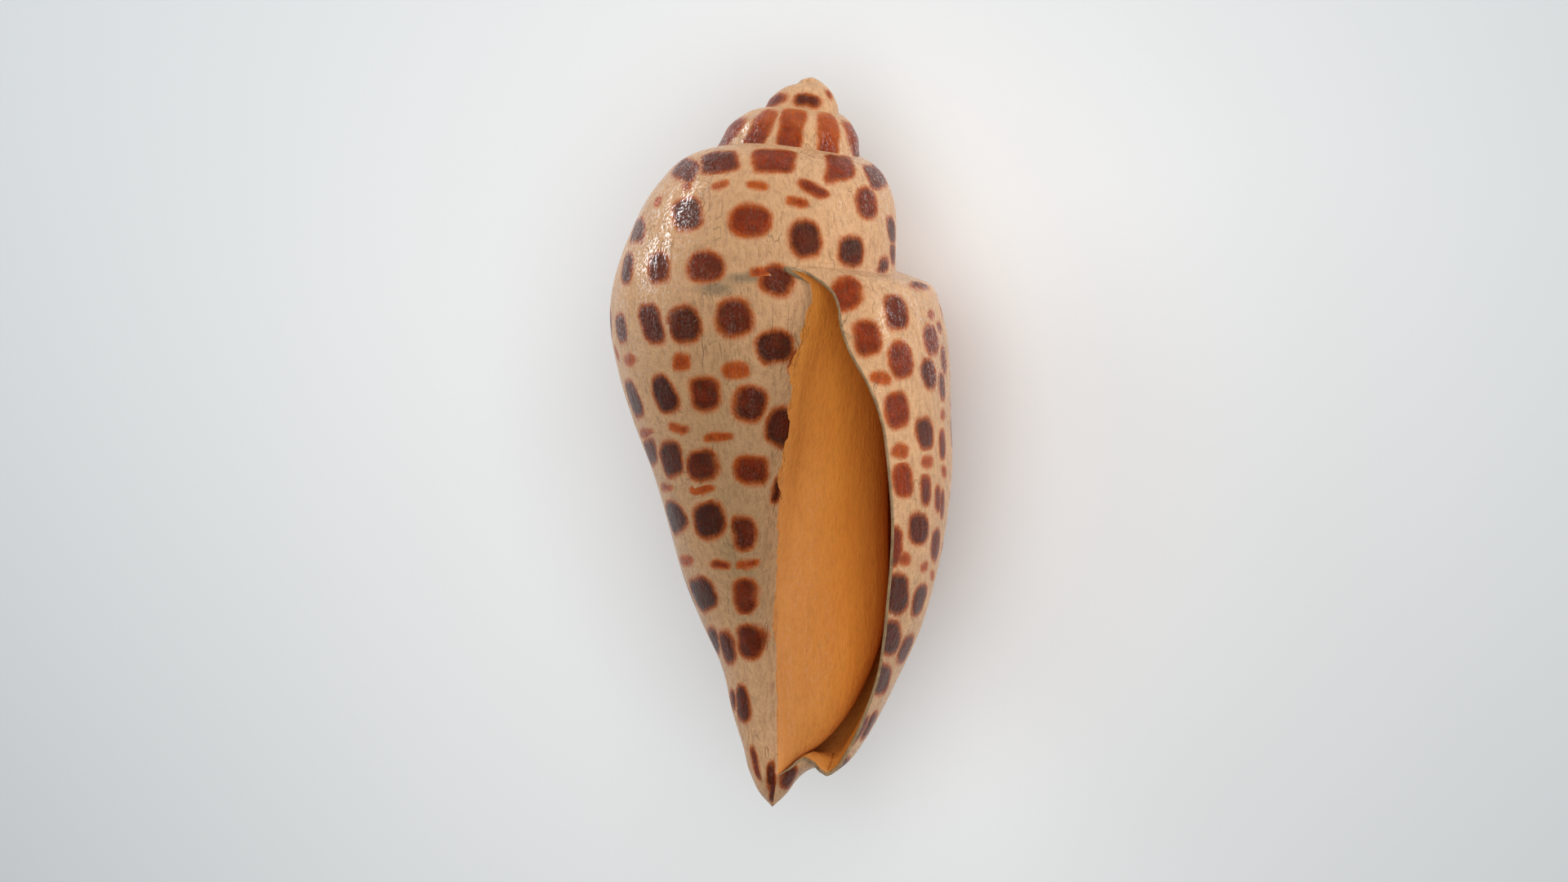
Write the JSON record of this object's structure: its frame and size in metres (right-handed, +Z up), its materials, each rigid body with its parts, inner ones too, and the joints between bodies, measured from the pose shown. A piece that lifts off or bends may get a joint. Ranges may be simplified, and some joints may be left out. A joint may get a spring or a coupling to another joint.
{
  "type": "junonia shell",
  "caption": "Spindle-shaped spiral sea shell with a short domed spire, a long narrow aperture and rows of brown spots.",
  "frame": {"origin": "centre of the shell's bounding box, on the table it lies on", "axes": "+Y from the anterior tip towards the apex, +Z up with the aperture facing up, +X towards the outer lip's side"},
  "size_m": [0.0478, 0.0994, 0.0424],
  "materials": {
    "shell_wall": "semi-gloss natural shell, cream tan with dark red-brown spots"
  },
  "bodies": {
    "root": {"shell": "shell_wall"}
  },
  "joints": []
}
